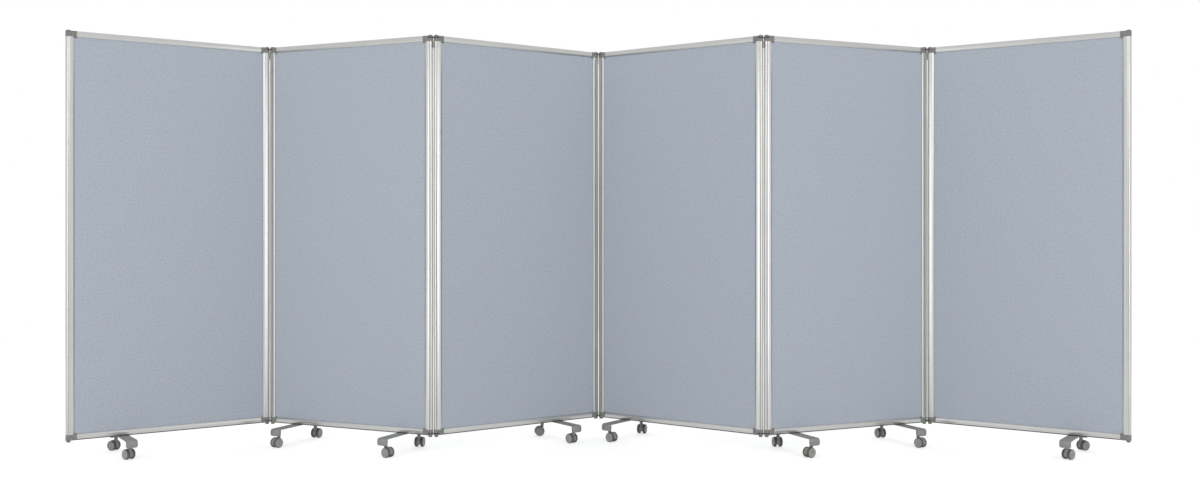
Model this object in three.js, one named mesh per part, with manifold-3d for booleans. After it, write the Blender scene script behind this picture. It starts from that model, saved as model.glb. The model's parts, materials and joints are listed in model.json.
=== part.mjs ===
// A rolling partition: six framed fabric panels in a zigzag, joined by double-pin hinge links,
// each panel on one or two strap feet with a swivel caster under each end.
// Millimetres, +Z up. X runs along the partition, the front faces -Y, and the floor is Z = 0.
import * as THREE from 'three';
import { mergeVertices } from 'three/addons/utils/BufferGeometryUtils.js';
import Module from 'manifold-3d';

const wasm = await Module();
wasm.setup();

// Panels
const panelHeight = 1800;
const panelWidth = 914;
const floorClearance = 88;
const frameDepth = 25;
const frameFace = 25;
const boardThickness = 17;
const boardGrip = 6;
const lipBevelWidth = 5.5;
const lipWall = 0.8;
const noseStep = 0.5;
const faceOverhang = 3;
const fitGap = 0.3;

// Corner caps, with a round nub over each hinge pin
const capLength = 44;
const capProud = 0.3;
const nubRadius = 8.7;
const nubRise = 4.5;
const nubDrop = 9;

// Hinge links: a plate at the top and bottom, joined by two rods that run in the frames' noses
const foldGap = 1.2;
const linkPlateThickness = 4;
const linkPlateInset = 6;
const linkEndRadius = 7;
const linkWaist = 9;
const rodRadius = 4;
const rodEndInset = 3;
const rodGap = 0.5;
const slotGap = 0.5;

// Feet
const footLength = 330;
const strapWidth = 50;
const strapThickness = 4;
const strapBendRadius = 13;
const lipDrop = 32;
const lipCornerRadius = 10;
const boltRadius = 6;
const boltHeight = 4;
const boltSpacing = 14;
const endFootInset = 229;
const middleFootInset = 148;

// Casters
const casterInset = 30;
const wheelDiameter = 46;
const wheelWidth = 13;
const wheelGap = 16;
const wheelChamfer = 2.5;
const hoodSideGap = 0.8;
const axleRadius = 4;
const axleGap = 0.5;
const hubRadius = 8;
const casterTrail = 13;
const hoodRise = 1.5;
const hoodStart = -18;
const hoodEnd = 205;
const neckRadius = 7.6;
const stemRadius = 5.5;
const stemGap = 0.6;
const stemHeadroom = 6.4;
const bushRadius = 9;
const bushGap = 0.5;
const bushClearance = 12;

// Rest pose: each panel's angle to X, in degrees, from left to right
const panelAngles = [34.4, -24.4, 36.2, -36.2, 24.4, -34.4];

// Smoothness of round shapes, in steps for a full turn
const pinSteps = 8;
const wheelSteps = 14;
const roundSteps = 10;
const noseSteps = 4;

// Sizes that follow from those above
const noseRadius = frameDepth / 2 - noseStep;
const lipEdge = boardThickness / 2 + fitGap + lipWall;
const pinSpan = panelWidth - 2 * noseRadius;
const capDepth = frameDepth + 2 * capProud;
const pinPitch = capDepth + foldGap;
const frameTop = floorClearance + panelHeight;
const strapTop = floorClearance - capProud - fitGap;
const strapUnderside = strapTop - strapThickness;
const wheelRadius = wheelDiameter / 2;
const bushBottom = wheelDiameter + bushClearance;
const stemTop = strapUnderside - stemHeadroom;
const casterSpacing = footLength - 2 * casterInset;

// Feet from left to right: the panel each is on, its place from that panel's left pin, and the
// direction from X in which its front and rear casters trail
const feet = [
  { name: 'foot_1', panel: 0, place: endFootInset, front: 144, rear: 157 },
  { name: 'foot_2a', panel: 1, place: middleFootInset, front: -128, rear: 73 },
  { name: 'foot_2b', panel: 1, place: pinSpan - middleFootInset, front: -34, rear: 81 },
  { name: 'foot_3', panel: 2, place: pinSpan - endFootInset, front: 136, rear: 191 },
  { name: 'foot_4', panel: 3, place: middleFootInset, front: -41, rear: 71 },
  { name: 'foot_5a', panel: 4, place: middleFootInset, front: -146, rear: 99 },
  { name: 'foot_5b', panel: 4, place: pinSpan - middleFootInset, front: -52, rear: 107 },
  { name: 'foot_6', panel: 5, place: pinSpan - endFootInset, front: 36, rear: 23 },
];

const aluminium = new THREE.MeshStandardMaterial({ color: 0xc9cbcb, roughness: 0.38, metalness: 0.9 });
const fabric = new THREE.MeshStandardMaterial({ color: 0xa5adb7, roughness: 0.95, metalness: 0 });
const darkPlastic = new THREE.MeshStandardMaterial({ color: 0x4b4c4a, roughness: 0.6, metalness: 0 });
const greyPaint = new THREE.MeshStandardMaterial({ color: 0x8e8f8d, roughness: 0.5, metalness: 0.3 });
const greyPlastic = new THREE.MeshStandardMaterial({ color: 0x8f908c, roughness: 0.55, metalness: 0 });

const radians = THREE.MathUtils.degToRad;

// Turns closed geometry into a solid that can be joined and cut
function solidOf(geometry) {
  const bare = geometry.index ? geometry.toNonIndexed() : geometry.clone();
  bare.deleteAttribute('normal');
  bare.deleteAttribute('uv');
  const merged = mergeVertices(bare, 1e-4);
  return new wasm.Manifold(new wasm.Mesh({
    numProp: 3,
    vertProperties: new Float32Array(merged.attributes.position.array),
    triVerts: new Uint32Array(merged.index.array),
  }));
}

// Turns a solid back into geometry with flat faces
function geometryOf(solid) {
  const found = solid.getMesh();
  const geometry = new THREE.BufferGeometry();
  geometry.setAttribute('position', new THREE.BufferAttribute(found.vertProperties, found.numProp));
  geometry.setIndex(new THREE.BufferAttribute(found.triVerts, 1));
  const flat = geometry.toNonIndexed();
  flat.computeVertexNormals();
  return flat;
}

const join = (...solids) => solids.reduce((whole, next) => whole.add(next));
const cut = (whole, ...tools) => tools.reduce((left, tool) => left.subtract(tool), whole);

// An outline in X and Y drawn up from a height
function prism(shape, height, base, steps = noseSteps) {
  const extent = { depth: height, bevelEnabled: false, curveSegments: steps };
  const geometry = new THREE.ExtrudeGeometry(shape, extent);
  return geometry.translate(0, 0, base);
}

// An outline in Y and Z drawn along X
function alongX(shape, length, start, steps = noseSteps) {
  const axes = [new THREE.Vector3(0, 1, 0), new THREE.Vector3(0, 0, 1), new THREE.Vector3(1, 0, 0)];
  const extent = { depth: length, bevelEnabled: false, curveSegments: steps };
  const geometry = new THREE.ExtrudeGeometry(shape, extent);
  return geometry.applyMatrix4(new THREE.Matrix4().makeBasis(...axes)).translate(start, 0, 0);
}

// An outline in X and Z, as thick as width, centred on Y = 0
function acrossY(shape, width, steps = noseSteps) {
  const extent = { depth: width, bevelEnabled: false, curveSegments: steps };
  const geometry = new THREE.ExtrudeGeometry(shape, extent);
  return geometry.rotateX(Math.PI / 2).translate(0, width / 2, 0);
}

function post(radius, bottom, top, x = 0, y = 0, steps = pinSteps) {
  const geometry = new THREE.CylinderGeometry(radius, radius, top - bottom, steps);
  return geometry.rotateX(Math.PI / 2).translate(x, y, (top + bottom) / 2);
}

function block(x0, x1, y0, y1, z0, z1) {
  const geometry = new THREE.BoxGeometry(x1 - x0, y1 - y0, z1 - z0);
  return geometry.translate((x0 + x1) / 2, (y0 + y1) / 2, (z0 + z1) / 2);
}

// The end of a panel seen from above: a flat-faced body with a round nose about the hinge pin
function endOutline(radius, halfDepth, inner, bevel) {
  const noseY = Math.sqrt(radius ** 2 - faceOverhang ** 2);
  const noseAngle = Math.atan2(noseY, -faceOverhang);
  const shape = new THREE.Shape();
  shape.moveTo(-faceOverhang, -noseY);
  shape.lineTo(-faceOverhang, -halfDepth);
  shape.lineTo(inner - bevel, -halfDepth);
  shape.lineTo(inner, bevel ? -lipEdge : -halfDepth);
  shape.lineTo(inner, bevel ? lipEdge : halfDepth);
  shape.lineTo(inner - bevel, halfDepth);
  shape.lineTo(-faceOverhang, halfDepth);
  shape.lineTo(-faceOverhang, noseY);
  shape.absarc(0, 0, radius, noseAngle, 2 * Math.PI - noseAngle, false);
  return shape;
}

// A rail seen from the end, with its bevelled lip at the top
function railOutline(halfDepth) {
  const shape = new THREE.Shape();
  shape.moveTo(-halfDepth, 0);
  shape.lineTo(halfDepth, 0);
  shape.lineTo(halfDepth, frameFace - lipBevelWidth);
  shape.lineTo(lipEdge, frameFace);
  shape.lineTo(-lipEdge, frameFace);
  shape.lineTo(-halfDepth, frameFace - lipBevelWidth);
  shape.closePath();
  return shape;
}

// One end of a frame, with its pin at X = 0: the stile and both corner caps
function frameEnd(hinged) {
  const stileLength = panelHeight - 1.5 * frameFace;
  const stile = prism(endOutline(noseRadius, frameDepth / 2, frameFace - faceOverhang, lipBevelWidth),
    stileLength, floorClearance + (panelHeight - stileLength) / 2);
  const capOutline = endOutline(noseRadius + capProud, capDepth / 2, capLength - noseRadius, 0);
  const capHeight = frameFace + capProud;
  const lowerCap = prism(capOutline, capHeight, floorClearance - capProud);
  const upperCap = prism(capOutline, capHeight, frameTop - frameFace);
  const lowerNubTop = floorClearance + frameFace / 2;
  const lowerNub = post(nubRadius, floorClearance - nubDrop, lowerNubTop, 0, 0, roundSteps);
  const upperNub = post(nubRadius, frameTop - frameFace / 2, frameTop + nubRise, 0, 0, roundSteps);
  const end = join(...[stile, lowerCap, upperCap, lowerNub, upperNub].map(solidOf));
  if (!hinged) return end;
  const slotHeight = linkPlateThickness + 2 * slotGap;
  const slotDepth = linkEndRadius + slotGap;
  const plateBases = [floorClearance + linkPlateInset, frameTop - linkPlateInset - linkPlateThickness];
  const slots = plateBases.map((base) =>
    block(-2 * noseRadius, slotDepth, -capDepth, capDepth, base - slotGap, base - slotGap + slotHeight));
  const channelEndInset = rodEndInset - rodGap;
  const channel = post(rodRadius + rodGap, floorClearance + channelEndInset, frameTop - channelEndInset);
  return cut(end, ...[...slots, channel].map(solidOf));
}

// A panel's frame, with its left pin at X = 0
function frameGeometry(leftHinged, rightHinged) {
  const railStart = frameFace - faceOverhang - lipBevelWidth;
  const railLength = pinSpan - 2 * railStart;
  const lowRail = alongX(railOutline(frameDepth / 2), railLength, railStart);
  const upperRail = lowRail.clone().rotateX(Math.PI).translate(0, 0, frameTop);
  const lowerRail = lowRail.translate(0, 0, floorClearance);
  const leftEnd = frameEnd(leftHinged);
  const rightEnd = frameEnd(rightHinged).rotate([0, 0, 180]).translate([pinSpan, 0, 0]);
  const groove = boardSize(fitGap);
  const whole = join(leftEnd, rightEnd, solidOf(lowerRail), solidOf(upperRail));
  return geometryOf(cut(whole, solidOf(block(...groove))));
}

// The box that the board fills, grown by a gap
function boardSize(gap) {
  const inset = frameFace - faceOverhang - boardGrip - gap;
  const rise = frameFace - boardGrip - gap;
  const half = boardThickness / 2 + gap;
  return [inset, pinSpan - inset, -half, half, floorClearance + rise, frameTop - rise];
}

// A link plate seen from above, from its left pin at X = 0 to its right pin
function linkOutline() {
  const side = Math.asin(linkWaist / 2 / linkEndRadius);
  const shape = new THREE.Shape();
  shape.absarc(0, 0, linkEndRadius, side, 2 * Math.PI - side, false);
  shape.absarc(pinPitch, 0, linkEndRadius, side - Math.PI, Math.PI - side, false);
  shape.closePath();
  return shape;
}

function linkGeometry() {
  const lowerBase = floorClearance + linkPlateInset;
  const upperBase = frameTop - linkPlateInset - linkPlateThickness;
  const plates = [lowerBase, upperBase].map((base) => prism(linkOutline(), linkPlateThickness, base, 3));
  const rods = [0, pinPitch].map((x) =>
    post(rodRadius, floorClearance + rodEndInset, frameTop - rodEndInset, x)
  );
  return geometryOf(join(...[...plates, ...rods].map(solidOf)));
}

// The strap from the side: flat under the rail, its ends bent down into lips
function strapOutline() {
  const reach = footLength / 2;
  const bend = reach - strapBendRadius;
  const innerBend = strapBendRadius - strapThickness;
  const low = strapTop - lipDrop;
  const shape = new THREE.Shape();
  shape.moveTo(-reach, low);
  shape.lineTo(-reach + strapThickness, low);
  shape.lineTo(-reach + strapThickness, strapTop - strapBendRadius);
  shape.absarc(-bend, strapTop - strapBendRadius, innerBend, Math.PI, Math.PI / 2, true);
  shape.lineTo(bend, strapUnderside);
  shape.absarc(bend, strapTop - strapBendRadius, innerBend, Math.PI / 2, 0, true);
  shape.lineTo(reach - strapThickness, low);
  shape.lineTo(reach, low);
  shape.absarc(bend, strapTop - strapBendRadius, strapBendRadius, 0, Math.PI / 2, false);
  shape.absarc(-bend, strapTop - strapBendRadius, strapBendRadius, Math.PI / 2, Math.PI, false);
  shape.closePath();
  return shape;
}

// The strap from the front: rounded lower corners on its lips
function strapFrontOutline() {
  const half = strapWidth / 2;
  const low = strapTop - lipDrop;
  const shape = new THREE.Shape();
  shape.moveTo(-half, strapTop + strapThickness);
  shape.lineTo(-half, low + lipCornerRadius);
  const cornerHeight = low + lipCornerRadius;
  shape.absarc(-half + lipCornerRadius, cornerHeight, lipCornerRadius, Math.PI, 1.5 * Math.PI, false);
  shape.absarc(half - lipCornerRadius, low + lipCornerRadius, lipCornerRadius, -Math.PI / 2, 0, false);
  shape.lineTo(half, strapTop + strapThickness);
  shape.closePath();
  return shape;
}

function strapGeometry() {
  const bar = alongX(strapOutline(), 2 * strapWidth, -strapWidth, 2);
  const front = acrossY(strapFrontOutline(), 2 * footLength, 2);
  const ends = [-casterSpacing / 2, casterSpacing / 2];
  const bushTop = strapTop - strapThickness / 2;
  const bushes = ends.map((y) => post(bushRadius, bushBottom, bushTop, 0, y, roundSteps));
  const bores = ends.map((y) => post(stemRadius + stemGap, 0, stemTop + stemGap, 0, y));
  const bolts = [-boltSpacing / 2, boltSpacing / 2].map((y) =>
    post(boltRadius, strapUnderside - boltHeight, strapTop - strapThickness / 2, 0, y, 6));
  const strap = solidOf(bar).intersect(solidOf(front));
  return geometryOf(cut(join(strap, ...[...bushes, ...bolts].map(solidOf)), ...bores.map(solidOf)));
}

// The caster's body, with its swivel axis at X = 0 and its axle at X = casterTrail: a hood between
// the wheels, a neck and the stem that turns in the foot's bush
function yokeGeometry() {
  const width = wheelGap - 2 * hoodSideGap;
  const hoodRadius = wheelRadius + hoodRise;
  const hood = new THREE.Shape();
  hood.absarc(0, 0, hoodRadius, radians(hoodStart), radians(hoodEnd), false);
  hood.lineTo(0, 0);
  hood.closePath();
  const hoodSolid = solidOf(acrossY(hood, width, 5).translate(casterTrail, 0, wheelRadius));
  const hub = solidOf(new THREE.CylinderGeometry(hubRadius, hubRadius, width, roundSteps)
    .translate(casterTrail, 0, wheelRadius));
  const boreRadius = axleRadius + axleGap;
  const bore = solidOf(new THREE.CylinderGeometry(boreRadius, boreRadius, 2 * width, pinSteps)
    .translate(casterTrail, 0, wheelRadius));
  const neck = solidOf(post(neckRadius, wheelRadius + hubRadius, bushBottom - bushGap, 0, 0, roundSteps));
  const stem = solidOf(post(stemRadius, wheelRadius + hubRadius, stemTop));
  return geometryOf(cut(join(hoodSolid, hub, neck, stem), bore));
}

// Both wheels and their axle, about the Y axis
function wheelsGeometry() {
  const inner = wheelGap / 2;
  const outer = inner + wheelWidth;
  const side = [
    [wheelRadius - wheelChamfer, outer],
    [wheelRadius, outer - wheelChamfer],
    [wheelRadius, inner],
    [axleRadius, inner],
  ];
  const profile = [
    [0, -outer],
    ...side.map(([radius, y]) => [radius, -y]),
    ...side.toReversed(),
    [0, outer],
  ];
  return new THREE.LatheGeometry(profile.map(([radius, y]) => new THREE.Vector2(radius, y)), wheelSteps);
}

function addPart(group, name, geometry, material) {
  const mesh = new THREE.Mesh(geometry, material);
  mesh.name = name;
  group.add(mesh);
  return mesh;
}

function addCaster(foot, name, y, heading) {
  const caster = new THREE.Group();
  caster.position.set(0, y, 0);
  caster.rotation.z = heading;
  addPart(caster, `${name}_yoke`, yokeShape, greyPlastic);
  addPart(caster, `${name}_wheels`, wheelsShape, greyPlastic).position.set(casterTrail, 0, wheelRadius);
  foot.add(caster);
}

function addFoot(panel, panelAngle, { name, place, front, rear }) {
  const foot = new THREE.Group();
  foot.position.set(place, 0, 0);
  addPart(foot, `${name}_strap`, strapShape, greyPaint);
  addCaster(foot, `${name}_front`, -casterSpacing / 2, radians(front - panelAngle));
  addCaster(foot, `${name}_rear`, casterSpacing / 2, radians(rear - panelAngle));
  panel.add(foot);
}

const strapShape = strapGeometry();
const yokeShape = yokeGeometry();
const wheelsShape = wheelsGeometry();
const linkShape = linkGeometry();
const boardShape = block(...boardSize(0));
const leftFrameShape = frameGeometry(false, true);
const middleFrameShape = frameGeometry(true, true);
const rightFrameShape = frameGeometry(true, false);

// A group whose origin is at the given pin and whose X axis runs along the panel or link
function placedAt(pin, angle) {
  const group = new THREE.Group();
  group.position.set(pin.x, pin.y, 0);
  group.rotation.z = radians(angle);
  return group;
}

const stepAlong = (pin, angle, length) =>
  new THREE.Vector2(Math.cos(radians(angle)), Math.sin(radians(angle))).multiplyScalar(length).add(pin);

const partition = new THREE.Group();
let pin = new THREE.Vector2(0, 0);
panelAngles.forEach((angle, index) => {
  const panel = placedAt(pin, angle);
  const isFirst = index === 0;
  const isLast = index === panelAngles.length - 1;
  const frameShape = isFirst ? leftFrameShape : isLast ? rightFrameShape : middleFrameShape;
  addPart(panel, `panel_${index + 1}_frame`, frameShape, aluminium);
  addPart(panel, `panel_${index + 1}_board`, boardShape, fabric);
  feet.filter((foot) => foot.panel === index).forEach((foot) => addFoot(panel, angle, foot));
  partition.add(panel);
  pin = stepAlong(pin, angle, pinSpan);
  if (isLast) return;
  const linkAngle = (angle + panelAngles[index + 1]) / 2;
  const link = placedAt(pin, linkAngle);
  addPart(link, `hinge_link_${index + 1}`, linkShape, darkPlastic);
  partition.add(link);
  pin = stepAlong(pin, linkAngle, pinPitch);
});

// The origin is on the floor, under the middle of the partition's bounding box
partition.updateMatrixWorld(true);
const middle = new THREE.Box3().setFromObject(partition, true).getCenter(new THREE.Vector3());
partition.position.set(-middle.x, -middle.y, 0);
partition.updateMatrixWorld(true);

export default partition;
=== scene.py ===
# A rolling partition of six framed fabric panels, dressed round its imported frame.
# Each shape is drawn once, in millimetres, in the frame of the panel, link, foot or caster that
# carries it, and copied from there to its places in the room, which is in metres.
import json
import math

import bmesh
import bpy
from mathutils import Matrix, Vector, noise


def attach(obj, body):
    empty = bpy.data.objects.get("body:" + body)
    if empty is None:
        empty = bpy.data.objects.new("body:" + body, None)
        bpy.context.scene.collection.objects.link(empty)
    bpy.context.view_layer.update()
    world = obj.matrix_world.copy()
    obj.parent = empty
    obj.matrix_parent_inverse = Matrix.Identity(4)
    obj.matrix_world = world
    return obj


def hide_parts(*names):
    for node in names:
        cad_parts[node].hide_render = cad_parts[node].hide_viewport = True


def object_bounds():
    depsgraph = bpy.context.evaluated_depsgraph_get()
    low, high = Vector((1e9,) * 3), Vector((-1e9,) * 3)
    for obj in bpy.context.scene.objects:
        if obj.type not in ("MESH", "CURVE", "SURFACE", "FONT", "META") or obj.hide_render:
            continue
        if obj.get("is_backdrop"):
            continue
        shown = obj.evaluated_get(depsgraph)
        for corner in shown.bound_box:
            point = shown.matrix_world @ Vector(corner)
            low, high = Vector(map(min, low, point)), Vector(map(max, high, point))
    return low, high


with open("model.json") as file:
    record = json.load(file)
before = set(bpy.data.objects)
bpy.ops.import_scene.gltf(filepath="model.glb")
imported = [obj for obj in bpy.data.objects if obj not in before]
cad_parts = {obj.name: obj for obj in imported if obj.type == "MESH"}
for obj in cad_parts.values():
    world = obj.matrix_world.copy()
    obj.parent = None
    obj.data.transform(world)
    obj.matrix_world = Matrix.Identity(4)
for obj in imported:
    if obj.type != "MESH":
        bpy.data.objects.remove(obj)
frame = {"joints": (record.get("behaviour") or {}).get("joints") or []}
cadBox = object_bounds()
scene = bpy.context.scene
mm = 0.001
near = 0.01  # places closer than this are the same

panel = {
    "count": 6,
    "height": 1800,
    "pinSpan": 890,  # from the left hinge pin to the right one
    "bottom": 88,
    "depth": 25,
    "face": 25,  # how wide the stiles and rails look from the front
}
panelTop = panel["bottom"] + panel["height"]

# the panel that each foot is on, and how far the foot is from that panel's left pin
footPlan = {
    "foot_1": (1, 229),
    "foot_2a": (2, 148),
    "foot_2b": (2, 742),
    "foot_3": (3, 661),
    "foot_4": (4, 148),
    "foot_5a": (5, 148),
    "foot_5b": (5, 742),
    "foot_6": (6, 661),
}

jointSpots = {joint["name"]: Vector(joint["pos_m"]) for joint in frame["joints"]}


def seatAt(origin, along):
    # takes millimetres in a part's own frame to its place, with its X axis turned to along
    turn = Matrix.Rotation(math.atan2(along.y, along.x), 4, "Z")
    return Matrix.Translation((origin.x, origin.y, 0)) @ turn @ Matrix.Scale(mm, 4)


footSeats = {}
panelSeats = {}
for foot, (number, place) in footPlan.items():
    front = jointSpots[foot + "_front_swivel"]
    rear = jointSpots[foot + "_rear_swivel"]
    across = (rear - front).normalized()
    along = Vector((across.y, -across.x, 0))
    footSeats[foot] = seatAt((front + rear) / 2, along)
    panelSeats[number] = seatAt((front + rear) / 2 - along * place * mm, along)

linkSeats = {}
for number in range(1, panel["count"]):
    leftPin = jointSpots[f"hinge_{number}_left_pin"]
    rightPin = jointSpots[f"hinge_{number}_right_pin"]
    linkSeats[number] = seatAt(leftPin, rightPin - leftPin)

casterSeats = {}
for foot in footPlan:
    for end in ("front", "rear"):
        swivel = jointSpots[f"{foot}_{end}_swivel"]
        casterSeats[foot + "_" + end] = seatAt(swivel, jointSpots[f"{foot}_{end}_roll"] - swivel)


# a wire is an output socket that takes part in sums
class Wire:
    def __init__(self, finish, socket):
        self.finish = finish
        self.socket = socket

    def beside(self, name):
        # another output of the same node
        return Wire(self.finish, self.socket.node.outputs[name])

    def __add__(self, other):
        return self.finish.maths("ADD", self, other)

    def __radd__(self, other):
        return self.finish.maths("ADD", other, self)

    def __sub__(self, other):
        return self.finish.maths("SUBTRACT", self, other)

    def __rsub__(self, other):
        return self.finish.maths("SUBTRACT", other, self)

    def __mul__(self, other):
        return self.finish.maths("MULTIPLY", self, other)

    def __rmul__(self, other):
        return self.finish.maths("MULTIPLY", other, self)


class Finish:
    def __init__(self, owner):
        self.owner = owner
        owner.use_nodes = True
        self.tree = owner.node_tree

    def feed(self, node, sockets):
        # joins wires to a node's sockets, or sets plain values on them
        for key, value in sockets.items():
            if isinstance(value, Wire):
                self.tree.links.new(value.socket, node.inputs[key])
            else:
                node.inputs[key].default_value = value

    def node(self, kind, settings, sockets, output=0):
        # adds a node: its settings go in first, then the values or wires of its sockets
        made = self.tree.nodes.new(kind)
        for name, value in settings.items():
            setattr(made, name, value)
        self.feed(made, sockets)
        return Wire(self, made.outputs[output])

    def maths(self, operation, *values):
        return self.node("ShaderNodeMath", {"operation": operation}, dict(enumerate(values)))

    def speckle(self, where, size, detail=2.0, roughness=0.5):
        # noise from 0 to 1, with spots of about that size in metres
        sockets = {"Vector": where, "Scale": 1 / size, "Detail": detail, "Roughness": roughness}
        return self.node("ShaderNodeTexNoise", {}, sockets)

    def spread(self, value, low, high):
        # 0 below low, 1 above high, and smooth between them
        sockets = {"Value": value, "From Min": low, "From Max": high}
        return self.node("ShaderNodeMapRange", {"interpolation_type": "SMOOTHSTEP"}, sockets)

    def blend(self, amount, first, second):
        return self.node("ShaderNodeMix", {"data_type": "RGBA"}, {0: amount, 6: first, 7: second}, 2)

    def stretched(self, where, x, y, z):
        return self.node("ShaderNodeMapping", {}, {"Vector": where, "Scale": (x, y, z)})

    def objectSpot(self):
        return self.node("ShaderNodeTexCoord", {}, {}, "Object")

    def grainSpot(self):
        return self.node("ShaderNodeUVMap", {"uv_map": "grain"}, {})

    def relief(self, height, depth, strength):
        return self.node("ShaderNodeBump", {}, {"Height": height, "Distance": depth, "Strength": strength})

    def surface(self, sockets):
        self.feed(self.tree.nodes["Principled BSDF"], sockets)
        return self.owner


def paint(red, green, blue):
    return (red, green, blue, 1)


def anodisedAluminium():
    finish = Finish(bpy.data.materials.new("satin anodised aluminium"))
    grain = finish.grainSpot()
    drawLines = finish.speckle(finish.stretched(grain, 0.8, 420, 1), 0.45, 3, 0.65)
    fineLines = finish.speckle(finish.stretched(grain, 6, 2600, 1), 0.6, 2)
    cloud = finish.speckle(finish.objectSpot(), 0.16, 2)
    tone = finish.spread(drawLines * 0.65 + cloud * 0.35, 0.34, 0.66)
    return finish.surface({
        "Base Color": finish.blend(tone, paint(0.49, 0.49, 0.48), paint(0.53, 0.53, 0.518)),
        "Metallic": 1.0,
        "Roughness": 0.25 + 0.03 * drawLines + 0.03 * cloud,
        "Normal": finish.relief(drawLines * 0.7 + fineLines * 0.3, 0.00002, 0.2),
    })


def stretchedFabric():
    cloth = {"pitch": 0.0015, "fibre": 0.0022, "mottle": 0.0085, "cloud": 0.06, "relief": 0.00035}
    finish = Finish(bpy.data.materials.new("woven grey fabric"))
    grain = finish.grainSpot()
    weft = finish.node("ShaderNodeSeparateXYZ", {}, {"Vector": grain}, "X")
    warp = weft.beside("Y")
    turns = math.pi / cloth["pitch"]
    acrossWave = finish.maths("SINE", weft * turns)
    upWave = finish.maths("SINE", warp * turns)
    plainWeave = 0.5 + 0.5 * (acrossWave * upWave)  # threads rise and dive in turn
    fibre = finish.speckle(grain, cloth["fibre"], 3, 0.7)
    mottle = finish.speckle(grain, cloth["mottle"], 2, 0.6)
    cloud = finish.speckle(grain, cloth["cloud"], 1)
    tone = finish.spread(fibre * 0.34 + mottle * 0.50 + plainWeave * 0.16, 0.30, 0.70)
    greys = finish.blend(tone, paint(0.315, 0.350, 0.404), paint(0.436, 0.469, 0.517))
    fading = finish.spread(cloud, 0.35, 0.65)
    tint = finish.blend(fading, paint(0.985, 1.0, 0.995), paint(1.0, 0.992, 1.004))
    product = {"data_type": "RGBA", "blend_type": "MULTIPLY"}
    return finish.surface({
        "Base Color": finish.node("ShaderNodeMix", product, {0: 1.0, 6: greys, 7: tint}, 2),
        "Roughness": 0.86 + 0.12 * fibre,
        "Sheen Weight": 0.12,
        "Sheen Roughness": 0.45,
        "Specular IOR Level": 0.2,
        "Normal": finish.relief(plainWeave * 0.6 + fibre * 0.4, cloth["relief"], 0.6),
    })


def mouldedPlastic(name, dark, light, roughness, grainSize=0.0009):
    # dark and light are the ends of its range of colour
    dark, light = paint(*dark), paint(*light)
    finish = Finish(bpy.data.materials.new(name))
    spot = finish.objectSpot()
    grain = finish.speckle(spot, grainSize, 2)
    cloud = finish.speckle(spot, 0.018, 3, 0.6)
    rubbed = finish.spread(finish.speckle(spot, 0.006, 4, 0.7), 0.60, 0.74)
    tone = finish.spread(cloud * 0.75 + grain * 0.25, 0.32, 0.68)
    lighter = tuple(min(1.0, shade * 1.22) for shade in light[:3]) + (1,)
    return finish.surface({
        "Base Color": finish.blend(rubbed * 0.35, finish.blend(tone, dark, light), lighter),
        "Roughness": roughness + 0.10 * grain - 0.10 * rubbed,
        "Normal": finish.relief(grain, 0.00008, 0.5),
    })


def powderCoat():
    finish = Finish(bpy.data.materials.new("grey powder coat"))
    spot = finish.objectSpot()
    peel = finish.speckle(spot, 0.0021, 2)
    cloud = finish.speckle(spot, 0.03, 2)
    scuff = finish.spread(finish.speckle(finish.stretched(spot, 1, 1, 5), 0.012, 5, 0.75), 0.63, 0.72)
    tone = finish.spread(cloud * 0.6 + peel * 0.4, 0.34, 0.66)
    body = finish.blend(tone, paint(0.205, 0.206, 0.199), paint(0.250, 0.250, 0.242))
    return finish.surface({
        "Base Color": finish.blend(scuff * 0.4, body, paint(0.37, 0.37, 0.36)),
        "Metallic": 0.15,
        "Roughness": 0.44 + 0.10 * cloud + 0.08 * scuff,
        "Coat Weight": 0.06 - 0.05 * scuff,
        "Coat Roughness": 0.25,
        "Normal": finish.relief(peel, 0.00012, 0.45),
    })


def zincSteel():
    finish = Finish(bpy.data.materials.new("zinc plated steel"))
    spot = finish.objectSpot()
    spangle = finish.speckle(spot, 0.004, 3, 0.7)
    tone = finish.spread(spangle, 0.35, 0.65)
    return finish.surface({
        "Base Color": finish.blend(tone, paint(0.42, 0.43, 0.44), paint(0.56, 0.57, 0.57)),
        "Metallic": 1.0,
        "Roughness": 0.26 + 0.16 * spangle,
        "Normal": finish.relief(spangle, 0.00003, 0.4),
    })


aluminium = anodisedAluminium()
fabric = stretchedFabric()
capPlastic = mouldedPlastic("grey cap plastic", (0.150, 0.152, 0.142), (0.190, 0.192, 0.180), 0.46)
# nearly black plastic for the strip under the lower rails: painted shade for the shadow along their lower
# edge
shadeStripPlastic = mouldedPlastic("painted shade strip", (0.050, 0.052, 0.048), (0.075, 0.077, 0.070), 0.58)
hingePaint = mouldedPlastic("dark hinge metal", (0.035, 0.035, 0.034), (0.055, 0.055, 0.053), 0.42)
hoodPlastic = mouldedPlastic("grey hood plastic", (0.195, 0.196, 0.184), (0.240, 0.241, 0.227), 0.44)
wheelPlastic = mouldedPlastic("grey wheel plastic", (0.240, 0.241, 0.225), (0.300, 0.301, 0.283), 0.42)
treadRubber = mouldedPlastic("worn grey tread", (0.070, 0.070, 0.066), (0.105, 0.105, 0.099), 0.62, 0.0016)
footPaint = powderCoat()
steel = zincSteel()
print("finishes are mixed")


def cornerFace(bm, points):
    # the flat face through what bm holds so far, in the order it was made, and these corners
    for point in points:
        bm.verts.new((*point, 0))
    return bm.faces.new(list(bm.verts))


def sweptArc(bm, start, centre, degrees, steps):
    # a corner that turns anticlockwise round a centre and leaves a row of corners
    first = bm.verts.new((*start, 0))
    bmesh.ops.spin(
        bm,
        geom=[first],
        cent=(*centre, 0),
        axis=(0, 0, 1),
        angle=math.radians(degrees),
        steps=steps,
        use_duplicate=False,
    )


bevelStyle = {"profile": 0.5, "material": -1}


def roundCorners(bm, test, radius, steps):
    corners = [vert for vert in bm.verts if test(vert.co)]
    bmesh.ops.bevel(bm, geom=corners, offset=radius, segments=steps, affect="VERTICES", **bevelStyle)


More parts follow.
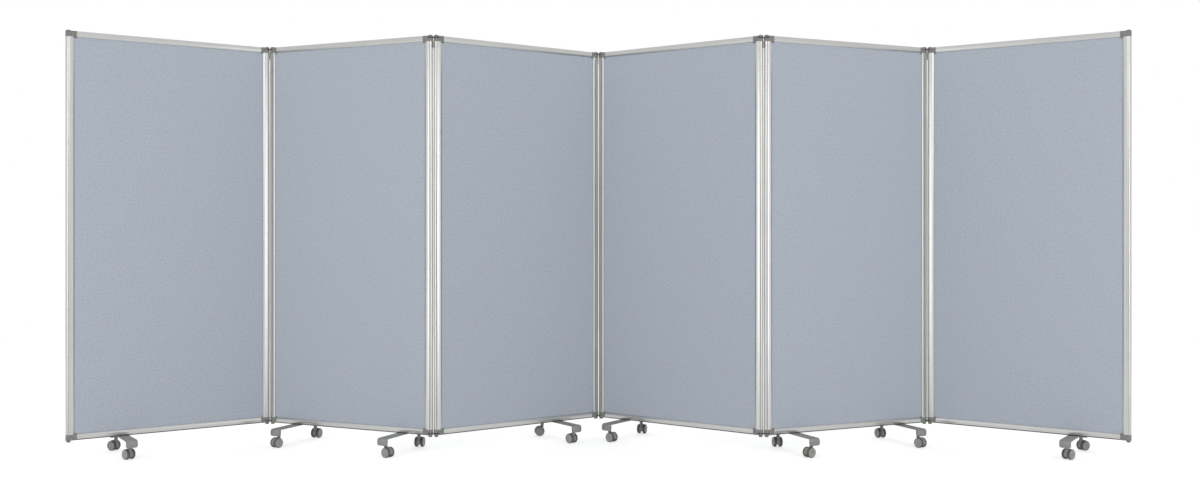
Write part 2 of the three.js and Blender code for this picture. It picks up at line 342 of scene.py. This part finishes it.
def raised(bm, height):
    # draws the flat face up into a solid
    grown = bmesh.ops.extrude_face_region(bm, geom=list(bm.faces))
    tops = [part for part in grown["geom"] if isinstance(part, bmesh.types.BMVert)]
    bmesh.ops.translate(bm, vec=(0, 0, height), verts=tops)


def softEdges(bm, test, width, steps=2, sharp=40):
    # rounds the edges whose faces turn by more than sharp degrees and whose middle passes the test
    edges = [
        edge
        for edge in bm.edges
        if edge.calc_face_angle(0) > math.radians(sharp) and test((edge.verts[0].co + edge.verts[1].co) / 2)
    ]
    style = {"affect": "EDGES", "clamp_overlap": True, **bevelStyle}
    bmesh.ops.bevel(bm, geom=edges, offset=width, segments=steps, **style)


def turned(bm, profile, steps):
    # a lathe: radius and height pairs, spun about Z
    corners = [bm.verts.new((radius, 0, height)) for radius, height in profile]
    edges = [bm.edges.new(pair) for pair in zip(corners, corners[1:])]
    bmesh.ops.spin(
        bm, geom=corners + edges, cent=(0, 0, 0), axis=(0, 0, 1), angle=math.tau, steps=steps, use_merge=True
    )
    bmesh.ops.remove_doubles(bm, verts=bm.verts, dist=0.001)


def moved(bm, matrix):
    bmesh.ops.transform(bm, matrix=matrix, verts=bm.verts)


def layGrain(bm, along, across):
    # a map in metres: u runs with the grain and v across it
    grain = bm.loops.layers.uv.new("grain")
    for face in bm.faces:
        for loop in face.loops:
            spot = loop.vert.co
            loop[grain].uv = (spot.dot(Vector(along)) * mm, spot.dot(Vector(across)) * mm)


def shapeOf(bm, sharp=32):
    # closes a drawing: normals outward, smooth with crisp edges
    bmesh.ops.recalc_face_normals(bm, faces=bm.faces)
    for face in bm.faces:
        face.smooth = True
    for edge in bm.edges:
        edge.smooth = edge.calc_face_angle(0) < math.radians(sharp)
    shape = bpy.data.meshes.new("shape")
    bm.to_mesh(shape)
    bm.free()
    return shape


def joined(*shapes):
    bm = bmesh.new()
    for shape in shapes:
        bm.from_mesh(shape)
    whole = bpy.data.meshes.new("shape")
    bm.to_mesh(whole)
    bm.free()
    return whole


def placed(shape, matrix):
    # a moved copy of a shape
    bm = bmesh.new()
    bm.from_mesh(shape)
    moved(bm, matrix)
    return shapeOf(bm)


def putPiece(name, shape, seat, finish, body, slotName, standsFor=()):
    mesh = shape.copy()
    mesh.name = name
    mesh.transform(seat)
    if seat.determinant() < 0:
        mesh.flip_normals()
    mesh.materials.append(finish)
    piece = bpy.data.objects.new(name, mesh)
    scene.collection.objects.link(piece)
    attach(piece, body)
    if standsFor:
        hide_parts(*standsFor)
    return piece


anywhere = lambda spot: True
# an outline's x, y and height become y, z and x
toLength = Matrix(((0, 0, 1, 0), (1, 0, 0, 0), (0, 1, 0, 0), (0, 0, 0, 1)))
rightEnd = Matrix.Translation((panel["pinSpan"], 0, 0)) @ Matrix.Rotation(math.pi, 4, "Z")
upsideDown = Matrix.Translation((0, 0, panel["bottom"] + panelTop)) @ Matrix.Rotation(math.pi, 4, "X")


# the frame, drawn with its left pin at X = 0
stile = {
    "noseRadius": 12,
    "noseSteps": 20,
    "overhang": 3,  # how far the flat face runs past the pin
    "grooveWide": 2.0,
    "grooveDeep": 4.5,
    "bevel": 5.5,
    "lip": 9.6,
    "lipWall": 0.75,
    "slot": 6.2,  # how deep the board's edge sits in the frame
    "edge": 0.6,
}
halfDepth = panel["depth"] / 2
stileInner = panel["face"] - stile["overhang"]
capTuck = 2  # how far stiles and rails run into the caps


def stileShape():
    nose, lip, inner = stile["noseRadius"], stile["lip"], stileInner
    grooveX = -stile["overhang"] - stile["grooveWide"]
    grooveY = math.sqrt(nose**2 - grooveX**2)
    floorY = grooveY - stile["grooveDeep"]
    boardY = lip - stile["lipWall"]
    bm = bmesh.new()
    spread = 360 - 2 * math.degrees(math.atan2(grooveY, grooveX))
    sweptArc(bm, (grooveX, grooveY), (0, 0), spread, stile["noseSteps"])
    half = [
        (grooveX, -floorY),
        (-stile["overhang"], -floorY),
        (-stile["overhang"], -halfDepth),
        (inner - stile["bevel"], -halfDepth),
        (inner, -lip),
        (inner, -boardY),
        (inner - stile["slot"], -boardY),
    ]
    cornerFace(bm, half + [(x, -y) for x, y in reversed(half)])
    roundCorners(bm, lambda spot: abs(abs(spot.y) - halfDepth) < near, stile["edge"], 3)
    length = panel["height"] - 2 * (panel["face"] - capTuck)
    raised(bm, length)
    moved(bm, Matrix.Translation((0, 0, panel["bottom"] + panel["face"] - capTuck)))
    layGrain(bm, (0, 0, 1), (1, 1, 0))
    return shapeOf(bm, 24)


rail = {
    "capEnd": 33,
    "edge": 0.6,
    "stripHigh": 4.2,
    "stripInset": 0.15,
    "stripTuck": 1,  # how far the strip runs up into the rail
    "stripEdge": 0.8,
}


def railOutline(bm, low):
    lip, boardY = stile["lip"], stile["lip"] - stile["lipWall"]
    high = panel["face"]
    half = [
        (-halfDepth, high - stile["bevel"]),
        (-halfDepth, low),
        (halfDepth, low),
        (halfDepth, high - stile["bevel"]),
        (lip, high),
        (boardY, high),
        (boardY, high - stile["slot"]),
        (-boardY, high - stile["slot"]),
        (-boardY, high),
        (-lip, high),
    ]
    cornerFace(bm, half)
    roundCorners(bm, lambda spot: abs(abs(spot.x) - halfDepth) < near, rail["edge"], 3)


def railShape(low):
    # a rail that lies along X over the bottom edge, its lip up
    start = rail["capEnd"] - capTuck
    bm = bmesh.new()
    railOutline(bm, low)
    raised(bm, panel["pinSpan"] - 2 * start)
    moved(bm, Matrix.Translation((start, 0, panel["bottom"])) @ toLength)
    layGrain(bm, (1, 0, 0), (0, 1, 1))
    return shapeOf(bm, 24)


def stripShape():
    # a dark strip along the lower rail's underside: painted shade where the rail's lower edge falls in
    # shadow
    start = rail["capEnd"] - capTuck
    wide = halfDepth - rail["stripInset"]
    high = rail["stripHigh"] + rail["stripTuck"]
    bm = bmesh.new()
    cornerFace(bm, [(-wide, 0), (wide, 0), (wide, high), (-wide, high)])
    roundCorners(bm, lambda spot: spot.y < near, rail["stripEdge"], 3)
    raised(bm, panel["pinSpan"] - 2 * start)
    moved(bm, Matrix.Translation((start, 0, panel["bottom"])) @ toLength)
    layGrain(bm, (1, 0, 0), (0, 1, 1))
    return shapeOf(bm)


cap = {
    "proud": 0.3,
    "edge": 1.3,
    "corner": 1.1,
    "rim": 0.4,  # how round the end that meets the rail is
    "slotLow": 5.5,
    "slotHigh": 10.5,
    "slotDepth": 7.5,  # how far past the pin the slot for the link plate is cut
    "tabHigh": 4.5,
    "tabSink": 2,
    "tabGap": 0.3,
    "tabInset": 0.5,
    "tabEdge": 0.7,
    "nubRadius": 8.7,
    "nubDrop": 9,
    "nubRise": 4.5,
    "nubSink": 2,
    "dimpleRadius": 3,
    "dimpleDeep": 1.8,
    "skirtLong": 31,
    "skirtThick": 0.9,
    "skirtSpread": 46,  # degrees of the nose that it covers
    "skirtGap": 0.05,
    "skirtTuck": 1,
}


def capOutline(bm):
    nose = stile["noseRadius"] + cap["proud"]
    deep = halfDepth + cap["proud"]
    out = stile["overhang"]
    noseY = math.sqrt(nose**2 - out**2)
    spread = 360 - 2 * math.degrees(math.atan2(noseY, -out))
    sweptArc(bm, (-out, noseY), (0, 0), spread, stile["noseSteps"])
    end = rail["capEnd"]
    cornerFace(bm, [(-out, -deep), (end, -deep), (end, deep), (-out, deep)])
    roundCorners(bm, lambda spot: abs(abs(spot.y) - deep) < near, cap["corner"], 4)


def capSlab(bm, low, high, openTop, openBottom):
    # one layer of a cap, with the face beyond the slot left open where the next layer joins it
    layer = bmesh.new()
    capOutline(layer)
    raised(layer, high - low)
    moved(layer, Matrix.Translation((0, 0, low)))
    if openTop or openBottom:
        parts = list(layer.verts) + list(layer.edges) + list(layer.faces)
        cut = (cap["slotDepth"], 0, 0)
        bmesh.ops.bisect_plane(layer, geom=parts, plane_co=cut, plane_no=(1, 0, 0))
        level = high if openTop else low
        gone = [
            face
            for face in layer.faces
            if abs(face.normal.z) > 0.9
            and abs(face.calc_center_median().z - level) < near
            and face.calc_center_median().x > cap["slotDepth"]
        ]
        bmesh.ops.delete(layer, geom=gone, context="FACES_ONLY")
    held = bpy.data.meshes.new("layer")
    layer.to_mesh(held)
    layer.free()
    bm.from_mesh(held)
    bpy.data.meshes.remove(held)


def capShape(hinged, nubReach):
    # a lower left cap, drawn from its underside up; the others are its copies, turned over and round
    high = panel["face"] + cap["proud"]
    bm = bmesh.new()
    if hinged:
        capSlab(bm, 0, cap["slotLow"], True, False)
        capSlab(bm, cap["slotHigh"], high, False, True)
        rim = [edge for edge in bm.edges if edge.is_boundary]
        bmesh.ops.bridge_loops(bm, edges=rim)
    else:
        capSlab(bm, 0, high, False, False)
    softEdges(bm, lambda spot: spot.z < near, cap["edge"], 3)
    softEdges(bm, lambda spot: spot.z > high - near, cap["rim"], 2)
    moved(bm, Matrix.Translation((0, 0, panel["bottom"] - cap["proud"])))
    body = shapeOf(bm)

    bm = bmesh.new()
    tip = panel["bottom"] - nubReach
    sunk = panel["bottom"] + cap["nubSink"]
    radius, dimple, deep = cap["nubRadius"], cap["dimpleRadius"], cap["dimpleDeep"]
    profile = [
        (0, tip + deep),
        (dimple - 0.4, tip + deep),
        (dimple, tip + deep - 0.4),
        (dimple, tip + 0.3),
        (dimple + 0.4, tip),
        (radius - 2.2, tip),
        (radius - 0.9, tip + 0.35),
        (radius - 0.25, tip + 1.1),
        (radius, tip + 2.2),
        (radius, sunk),
        (0, sunk),
    ]
    turned(bm, profile, 36)
    nub = shapeOf(bm)

    # the two tabs that rise in the frame's corner, in front of the fabric and behind it
    tabs = []
    start = stileInner + cap["tabGap"]
    wide = rail["capEnd"] - start
    outer = halfDepth + cap["proud"] - cap["tabInset"]
    inner = stile["lip"] - stile["lipWall"]
    size = Matrix.Diagonal((wide, outer - inner, cap["tabHigh"] + cap["tabSink"], 1))
    base = panel["bottom"] + panel["face"] - cap["tabSink"]
    for side in (-1, 1):
        bm = bmesh.new()
        bmesh.ops.create_grid(bm, x_segments=1, y_segments=1, size=0.5)
        raised(bm, 1)
        middle = (start + wide / 2, side * (outer + inner) / 2, base)
        moved(bm, Matrix.Translation(middle) @ size)
        softEdges(bm, lambda spot: spot.z > base + 1, cap["tabEdge"], 2)
        tabs.append(shapeOf(bm))
    return joined(body, nub, *tabs)


def skirtShape():
    # a thin tongue of the upper cap that hangs down the nose, on the side that faces the next panel
    inside = stile["noseRadius"] + cap["skirtGap"]
    bm = bmesh.new()
    turn = math.radians(180 - cap["skirtSpread"] / 2)
    start = (inside * math.cos(turn), inside * math.sin(turn))
    sweptArc(bm, start, (0, 0), cap["skirtSpread"], 10)
    grown = bmesh.ops.extrude_edge_only(bm, edges=list(bm.edges))
    outer = [part for part in grown["geom"] if isinstance(part, bmesh.types.BMVert)]
    wider = 1 + cap["skirtThick"] / inside
    bmesh.ops.scale(bm, vec=(wider, wider, 1), verts=outer)
    raised(bm, cap["skirtLong"])
    low = panelTop - panel["face"] - cap["skirtLong"] + cap["skirtTuck"]
    moved(bm, Matrix.Translation((0, 0, low)))
    return shapeOf(bm)


stilePattern = stileShape()
# the lower rail stops short by stripHigh, where the dark strip of painted shade sits under it
lowerRail = railShape(rail["stripHigh"])
upperRail = railShape(0)
edgeStrip = stripShape()
capPatterns = {
    (hinged, level): capShape(hinged, reach)
    for hinged in (True, False)
    for level, reach in (("Lower", cap["nubDrop"]), ("Upper", cap["nubRise"]))
}
skirtPattern = skirtShape()
print("frame shapes are drawn")


# the fabric skins on the board
skin = {
    "level": 8.55,  # how far the fabric's face is from the panel's middle
    "tuck": 2.6,  # how far it runs under the frame's lip
    "dip": 0.9,  # how deep it is pulled in at the lip
    "folds": ((0.7, 0.1), (1.1, 0.45), (1.6, 0.3), (4, 0.05)),  # widths and rises, from the lip in
    "cuts": 26,
    "waver": 0.18,  # how far the board's face is from flat
    "waverLong": 130,
    "thick": 0.7,
}
skinSize = (
    panel["pinSpan"] - 2 * (stileInner - skin["tuck"]),
    panel["height"] - 2 * (panel["face"] - skin["tuck"]),
)


def skinShape():
    bm = bmesh.new()
    bmesh.ops.create_grid(bm, x_segments=1, y_segments=1, size=0.5)
    moved(bm, Matrix.Diagonal((skinSize[0], skinSize[1], 1, 1)))
    inset = {"faces": list(bm.faces), "use_boundary": True, "use_even_offset": True}
    for wide, rise in ((skin["tuck"] + 0.1, 0), *skin["folds"]):
        bmesh.ops.inset_region(bm, thickness=wide, depth=rise, **inset)
    long = [edge for edge in bm.edges if edge.calc_length() > 100]
    bmesh.ops.subdivide_edges(bm, edges=long, cuts=skin["cuts"], use_grid_fill=True)
    for vert in bm.verts:
        if vert.co.z > skin["dip"] - 2 * near:
            across, up = vert.co.x / skin["waverLong"], vert.co.y / skin["waverLong"]
            vert.co.z += skin["waver"] * noise.noise(Vector((across, up, 0.5)))
    layGrain(bm, (1, 0, 0), (0, 1, 0))
    front = skin["dip"] - skin["level"]
    middle = (panel["pinSpan"] / 2, front, panel["bottom"] + panel["height"] / 2)
    moved(bm, Matrix.Translation(middle) @ Matrix.Rotation(math.pi / 2, 4, "X"))
    for face in bm.faces:
        face.smooth = True
    shape = bpy.data.meshes.new("skin")
    bm.to_mesh(shape)
    bm.free()
    return shape


skinPattern = skinShape()

for number in range(1, panel["count"] + 1):
    label, body, seat = f"panel{number}_", f"panel_{number}", panelSeats[number]
    frameNode, boardNode = [body + "_frame"], [body + "_board"]
    for name, shape, place, finish, slotName in (
        ("stileLeft", stilePattern, seat, aluminium, "frame_aluminium"),
        ("stileRight", stilePattern, seat @ rightEnd, aluminium, "frame_aluminium"),
        ("railLower", lowerRail, seat, aluminium, "frame_aluminium"),
        ("railUpper", upperRail, seat @ upsideDown, aluminium, "frame_aluminium"),
        # the dark strip under the lower rail is painted shade for the rail's shadowed lower edge
        ("edgeStrip", edgeStrip, seat, shadeStripPlastic, "hinge_dark"),
    ):
        putPiece(label + name, shape, place, finish, body, slotName, frameNode)
    for side, turn, hinged in (("Left", Matrix(), number > 1), ("Right", rightEnd, number < panel["count"])):
        corner, look = seat @ turn, (capPlastic, body, "caster_plastic")
        for level, place in (("Lower", corner), ("Upper", corner @ upsideDown)):
            putPiece(label + "cap" + level + side, capPatterns[hinged, level], place, *look, frameNode)
        if hinged:
            putPiece(label + "skirt" + side, skirtPattern, corner, *look)
    for side, turn in (("Front", Matrix()), ("Back", rightEnd)):
        look = (fabric, body, "panel_fabric")
        cloth = putPiece(label + "fabric" + side, skinPattern, seat @ turn, *look, boardNode)
        wall = cloth.modifiers.new("thickness", "SOLIDIFY")
        wall.thickness = skin["thick"] * mm
        wall.offset = -1
        skinSize[0] * mm
        skinSize[1] * mm
        label + "stileLeft"
        label + "stileRight"
print("panels are framed and covered")


# the hinges, drawn with the left pin at X = 0
hinge = {
    "pitch": 26.8,
    "endRadius": 7,
    "waist": 4.5,
    "thick": 4,
    "edge": 0.5,
    "inset": 6,  # from the frame's end to the plate
    "pinRadius": 4,
    "pinReach": 4,
    "pinEdge": 0.6,
}


def linkPlateShape():
    reach, half, pitch = hinge["endRadius"], hinge["waist"], hinge["pitch"]
    bm = bmesh.new()
    spread = 360 - 2 * math.degrees(math.asin(half / reach))
    shoulder = math.sqrt(reach**2 - half**2)
    sweptArc(bm, (shoulder, half), (0, 0), spread, 20)
    sweptArc(bm, (pitch - shoulder, -half), (pitch, 0), spread, 20)
    cornerFace(bm, [])
    raised(bm, hinge["thick"])
    softEdges(bm, anywhere, hinge["edge"])
    moved(bm, Matrix.Translation((0, 0, panel["bottom"] + hinge["inset"])))
    return shapeOf(bm)


def linkPinShape():
    low = panel["bottom"] + hinge["inset"] - hinge["pinReach"]
    high = low + hinge["thick"] + 2 * hinge["pinReach"]
    radius, edge = hinge["pinRadius"], hinge["pinEdge"]
    half = [(0, low), (radius - edge, low), (radius, low + edge)]
    bm = bmesh.new()
    turned(bm, half + [(radius, high - edge), (radius - edge, high), (0, high)], 24)
    pin = shapeOf(bm)
    return joined(pin, placed(pin, Matrix.Translation((hinge["pitch"], 0, 0))))


linkPlate, linkPins = linkPlateShape(), linkPinShape()
for number, seat in linkSeats.items():
    body, node = f"link_{number}", [f"hinge_link_{number}"]
    for level, turn in (("Lower", Matrix()), ("Upper", upsideDown)):
        place = seat @ turn
        putPiece(f"hinge{number}_plate{level}", linkPlate, place, hingePaint, body, "hinge_dark", node)
        putPiece(f"hinge{number}_pins{level}", linkPins, place, steel, body, "hinge_dark", node)
print("hinges are linked")


# the feet, drawn with their middle at X = 0 and Y = 0
strap = {
    "reach": 165,
    "wide": 50,
    "thick": 4,
    "top": 87.4,
    "drop": 32,
    "bend": 13,
    "lipCorner": 10,
    "edge": 0.7,
    "boltPlaces": (-7, 7),
    "boltRadius": 6,
    "socketRadius": 2.5,
    "casterPlace": 135,
    "bushRadius": 9,
    "bushBottom": 58,
    "bore": 6.1,
}


def strapShape():
    reach, top, thick = strap["reach"], strap["top"], strap["thick"]
    low, under = top - strap["drop"], top - thick
    bm = bmesh.new()
    corners = [(-reach, low), (thick - reach, low), (thick - reach, under)]
    cornerFace(bm, corners + [(-x, z) for x, z in reversed(corners)] + [(reach, top), (-reach, top)])
    roundCorners(bm, lambda spot: abs(spot.y - top) < near, strap["bend"], 10)
    roundCorners(bm, lambda spot: abs(spot.y - under) < near, strap["bend"] - thick, 10)
    raised(bm, strap["wide"])
    moved(bm, Matrix.Translation((-strap["wide"] / 2, 0, 0)) @ toLength)
    corner = lambda spot: spot.z < low + near and abs(spot.x) > strap["wide"] / 2 - near
    softEdges(bm, corner, strap["lipCorner"], 8)
    softEdges(bm, anywhere, strap["edge"], 2)
    layGrain(bm, (0, 1, 0), (1, 0, 1))
    return shapeOf(bm, 24)


def boltShape():
    # a button head under the strap, with its socket
    top = strap["top"] - strap["thick"] + 0.3
    radius, socket = strap["boltRadius"], strap["socketRadius"]
    profile = [
        (0, top - 2.2),
        (socket - 0.2, top - 2.2),
        (socket, top - 4.2),
        (radius - 2.4, top - 4.3),
        (radius - 1.1, top - 3.9),
        (radius - 0.3, top - 3.0),
        (radius, top - 1.9),
        (radius, top),
        (0, top),
    ]
    bm = bmesh.new()
    turned(bm, profile, 28)
    head = shapeOf(bm)
    return joined(*[placed(head, Matrix.Translation((0, place, 0))) for place in strap["boltPlaces"]])


def bushShape():
    # the two sleeves that hold the caster stems
    low, high = strap["bushBottom"], strap["top"] - strap["thick"] + 0.4
    bore, outer = strap["bore"], strap["bushRadius"]
    profile = [
        (bore, low + 0.6),
        (bore + 0.6, low),
        (outer - 0.8, low),
        (outer, low + 0.8),
        (outer, high),
        (bore, high),
        (bore, low + 0.6),
    ]
    bm = bmesh.new()
    turned(bm, profile, 36)
    sleeve = shapeOf(bm)
    places = (-strap["casterPlace"], strap["casterPlace"])
    return joined(*[placed(sleeve, Matrix.Translation((0, place, 0))) for place in places])


strapPattern, boltPattern, bushPattern = strapShape(), boltShape(), bushShape()
for foot, (number, place) in footPlan.items():
    body, seat, node = f"panel_{number}", footSeats[foot], [foot + "_strap"]
    label = foot.replace("_", "")
    putPiece(label + "_strap", strapPattern, seat, footPaint, body, "foot_paint", node)
    putPiece(label + "_bolts", boltPattern, seat, steel, body, "foot_paint", node)
    putPiece(label + "_bushes", bushPattern, seat, footPaint, body, "foot_paint", node)
print("feet are bolted on")


# the casters, drawn with the swivel axis at X = 0 and Y = 0
caster = {
    "wheelRadius": 23,
    "inner": 8,  # from the middle to each wheel's inner face
    "outer": 21,
    "trail": 13,
    "hoodRadius": 24.5,
    "hoodWide": 14.4,
    "hoodStart": -18,
    "hoodEnd": 205,
    "hoodArch": ((-9, -6), (0, -9.5), (9, -6)),  # its underside, round the axle
    "hoodEdge": 1.1,
    "neckRadius": 7.6,
    "neckBottom": 40,
    "neckTop": 57.5,
    "collar": 50,  # the height of the ring round the neck
    "stemRadius": 5.5,
    "stemBottom": 58,
    "stemTop": 77,
    "stemEdge": 1.2,
    "tread": 2.2,
    "bore": 4.2,
    "hubRadius": 8.2,
    "axleRadius": 4,
    "axleTuck": 2,  # how far the axle runs into each wheel
}
axleSpot = Matrix.Translation((caster["trail"], 0, caster["wheelRadius"]))
acrossWheel = axleSpot @ Matrix.Rotation(-math.pi / 2, 4, "X")  # a lathe's Z becomes the caster's Y


def hoodShape():
    reach, wide = caster["hoodRadius"], caster["hoodWide"]
    start = math.radians(caster["hoodStart"])
    bm = bmesh.new()
    first = (reach * math.cos(start), reach * math.sin(start))
    sweptArc(bm, first, (0, 0), caster["hoodEnd"] - caster["hoodStart"], 36)
    cornerFace(bm, caster["hoodArch"])
    roundCorners(bm, lambda spot: spot.length < reach / 2, 3, 3)
    raised(bm, wide)
    upright = Matrix.Rotation(math.pi / 2, 4, "X") @ Matrix.Translation((0, 0, -wide / 2))
    moved(bm, axleSpot @ upright)
    softEdges(bm, anywhere, caster["hoodEdge"], 3)
    hood = shapeOf(bm)

    low, top = caster["neckBottom"], caster["neckTop"]
    radius, collar = caster["neckRadius"], caster["collar"]
    profile = [
        (0, low),
        (radius - 0.6, low),
        (radius - 0.6, collar - 2.7),
        (radius + 0.4, collar - 2),
        (radius + 0.8, collar - 1),
        (radius + 0.8, collar + 1),
        (radius, collar + 2.5),
        (radius, top - 0.6),
        (radius - 0.6, top),
        (0, top),
    ]
    bm = bmesh.new()
    turned(bm, profile, 32)
    return joined(hood, shapeOf(bm))


def stemShape():
    radius, edge = caster["stemRadius"], caster["stemEdge"]
    low, top = caster["stemBottom"], caster["stemTop"]
    bm = bmesh.new()
    turned(bm, [(0, low), (radius, low), (radius, top - edge), (radius - edge, top), (0, top)], 28)
    return shapeOf(bm)


def wheelShape():
    radius = caster["wheelRadius"] - caster["tread"]
    inner, outer, bore, hub = caster["inner"], caster["outer"], caster["bore"], caster["hubRadius"]
    profile = [
        (bore, inner + 0.9),
        (radius - 4, inner + 0.9),
        (radius - 3.2, inner),
        (radius + 0.4, inner),
        (radius + 0.4, outer - 0.9),
        (radius - 0.2, outer - 0.25),
        (radius - 1.4, outer),
        (radius - 2.2, outer),
        (radius - 2.5, outer - 0.6),
        (radius - 3.0, outer - 0.6),
        (radius - 3.3, outer - 0.05),
        (radius - 8, outer - 0.2),
        (hub, outer - 0.25),
        (hub - 0.3, outer - 0.9),
        (hub - 0.9, outer - 0.9),
        (hub - 1.2, outer - 0.15),
        (3.5, outer - 0.02),
        (0, outer),
        (0, inner + 0.9),
        (bore, inner + 0.9),
    ]
    bm = bmesh.new()
    turned(bm, profile, 48)
    return shapeOf(bm, 28)


def treadShape():
    radius, inner, outer = caster["wheelRadius"], caster["inner"], caster["outer"]
    low = radius - caster["tread"] + 0.3
    profile = [
        (low, inner + 0.2),
        (radius - 0.9, inner + 0.2),
        (radius - 0.25, inner + 0.6),
        (radius, inner + 1.5),
        (radius, outer - 4.4),
        (radius - 0.35, outer - 2.9),
        (radius - 1.2, outer - 1.7),
        (low, outer - 1.1),
        (low, inner + 0.2),
    ]
    bm = bmesh.new()
    turned(bm, profile, 48)
    return shapeOf(bm)


def pairOf(shape):
    # the same shape on both sides of the hood
    return joined(shape, placed(shape, Matrix.Rotation(math.pi, 4, "X")))


def axleShape():
    radius, reach = caster["axleRadius"], caster["inner"] + caster["axleTuck"]
    bm = bmesh.new()
    turned(bm, [(0, -reach), (radius, -reach), (radius, reach), (0, reach)], 24)
    return shapeOf(bm)


hoodPattern, stemPattern, axlePattern = hoodShape(), stemShape(), axleShape()
wheelPattern, treadPattern = pairOf(wheelShape()), pairOf(treadShape())
for name, seat in casterSeats.items():
    label, hub = name.replace("_", "", 1), seat @ acrossWheel
    turning, rolling = name + "_caster", name + "_wheel_pair"
    yoke, wheels = [name + "_yoke"], [name + "_wheels"]
    putPiece(label + "_hood", hoodPattern, seat, hoodPlastic, turning, "caster_plastic", yoke)
    putPiece(label + "_stem", stemPattern, seat, steel, turning, "caster_plastic", yoke)
    putPiece(label + "_discs", wheelPattern, hub, wheelPlastic, rolling, "wheel_plastic", wheels)
    putPiece(label + "_treads", treadPattern, hub, treadRubber, rolling, "wheel_plastic", wheels)
    putPiece(label + "_axle", axlePattern, hub, steel, rolling, "wheel_plastic", wheels)
print("casters are fitted")

# the patterns aren't needed any more
for shape in [mesh for mesh in bpy.data.meshes if mesh.users == 0]:
    bpy.data.meshes.remove(shape)


# the room and its pale floor, which fades to plain white between nearFloor and farFloor
room = {
    "floorReach": 60,
    "floorWhite": 0.62,
    "floorShade": 0.46,
    "floorBounce": 0.72,
    "nearFloor": 3.6,
    "farFloor": 7.5,
    "glowAround": 0.52,
    "glowAhead": 0.40,  # added in front and behind
    "glowAbove": 0.55,
}
# place, aim, width and height in metres, and brightness; the two tall boxes show in the metal
lamps = {
    "leftBox": ((-3.05, -2.95, 0.9), (0.5, -0.1, 0.5), 1.0, 2.8, 2.35),
    "rightBox": ((3.05, -2.95, 0.9), (-0.5, -0.1, 0.5), 1.0, 2.8, 2.35),
    "frontBox": ((0, -7.5, 3.0), (0, 0, 0.5), 5.0, 2.0, 1.95),
    "topBox": ((0, -0.4, 4.6), (0, 0, 0), 5.5, 3.0, 0.40),
    "backBox": ((0, 6.5, 3.2), (0, 0, 0.9), 5.0, 2.4, 2.4),
}


def floorFinish():
    # the camera and shiny surfaces see it white with its shadow; other light meets a plain floor
    finish = Finish(bpy.data.materials.new("pale floor"))
    rays = finish.node("ShaderNodeLightPath", {}, {}, "Is Camera Ray")
    seen = rays + rays.beside("Is Glossy Ray")
    spot = finish.objectSpot()
    away = finish.node("ShaderNodeVectorMath", {"operation": "LENGTH"}, {0: spot}, "Value")
    far = finish.spread(away, room["nearFloor"], room["farFloor"])

    def glowing(strength):
        return finish.node("ShaderNodeEmission", {}, {"Color": paint(1, 1, 1), "Strength": strength})

    def matt(shade):
        return finish.node("ShaderNodeBsdfDiffuse", {}, {"Color": paint(shade, shade, shade)})

    lit, shaded = glowing(room["floorWhite"]), matt(room["floorShade"])
    close = finish.node("ShaderNodeAddShader", {}, {0: lit, 1: shaded})
    shown = finish.node("ShaderNodeMixShader", {}, {0: far, 1: close, 2: glowing(1.0)})
    both = finish.node("ShaderNodeMixShader", {}, {0: seen, 1: matt(room["floorBounce"]), 2: shown})
    finish.feed(finish.tree.nodes["Material Output"], {"Surface": both})
    return finish.owner


bm = bmesh.new()
bmesh.ops.create_grid(bm, x_segments=1, y_segments=1, size=room["floorReach"])
floorMesh = bpy.data.meshes.new("floor")
bm.to_mesh(floorMesh)
bm.free()
floorMesh.materials.append(floorFinish())
floor = bpy.data.objects.new("floor", floorMesh)
scene.collection.objects.link(floor)
floor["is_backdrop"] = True

# the room's light, brighter overhead, in front and behind; camera and shiny surfaces see it white
world = bpy.data.worlds.new("studio")
scene.world = world
air = Finish(world)
direction = air.node("ShaderNodeTexCoord", {}, {}, "Generated")
forward = air.node("ShaderNodeSeparateXYZ", {}, {"Vector": direction}, "Y")
overhead = air.maths("MAXIMUM", forward.beside("Z"), 0.0)
glow = room["glowAround"] + room["glowAhead"] * (forward * forward) + room["glowAbove"] * overhead
rays = air.node("ShaderNodeLightPath", {}, {}, "Is Camera Ray")
seen = rays + rays.beside("Is Glossy Ray") + rays.beside("Is Transmission Ray")
air.feed(air.tree.nodes["Background"], {"Strength": glow * (1 - seen) + seen, "Color": paint(1, 1, 1)})


def softbox(name, spot, aim, wide, high, brightness):
    # an area lamp of that brightness, whatever its size
    lamp = bpy.data.lights.new(name, "AREA")
    lamp.shape = "RECTANGLE"
    lamp.size, lamp.size_y = wide, high
    lamp.energy = brightness * math.pi * wide * high
    holder = bpy.data.objects.new(name, lamp)
    holder.location = spot
    holder.rotation_mode = "QUATERNION"
    holder.rotation_quaternion = (Vector(aim) - Vector(spot)).to_track_quat("-Z", "Y")
    holder.visible_camera = False
    scene.collection.objects.link(holder)


for name, (spot, aim, wide, high, brightness) in lamps.items():
    softbox(name, spot, aim, wide, high, brightness)

# the camera, level and a little above the middle of the panels
lens = {
    "height": 1.017,
    "back": 5.94,
    "focal": 36,
    "sensor": 36,
    "sideways": 1.5,  # this and downward are pixels of an image that is imageWide across
    "downward": 15,
    "imageWide": 1200,
}
middleHinge = (jointSpots["hinge_3_left_pin"] + jointSpots["hinge_3_right_pin"]) / 2
cameraData = bpy.data.cameras.new("camera")
cameraData.sensor_width = lens["sensor"]
cameraData.lens = lens["focal"]
cameraData.shift_x = lens["sideways"] / lens["imageWide"]
cameraData.shift_y = -lens["downward"] / lens["imageWide"]
camera = bpy.data.objects.new("camera", cameraData)
camera.location = (0, middleHinge.y - lens["back"], lens["height"])
camera.rotation_euler = (math.pi / 2, 0, 0)
scene.collection.objects.link(camera)
scene.camera = camera
scene.view_settings.view_transform = "Standard"
print("room is lit")

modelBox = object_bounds()
{"cad": [list(corner) for corner in cadBox], "model": [list(corner) for corner in modelBox]}
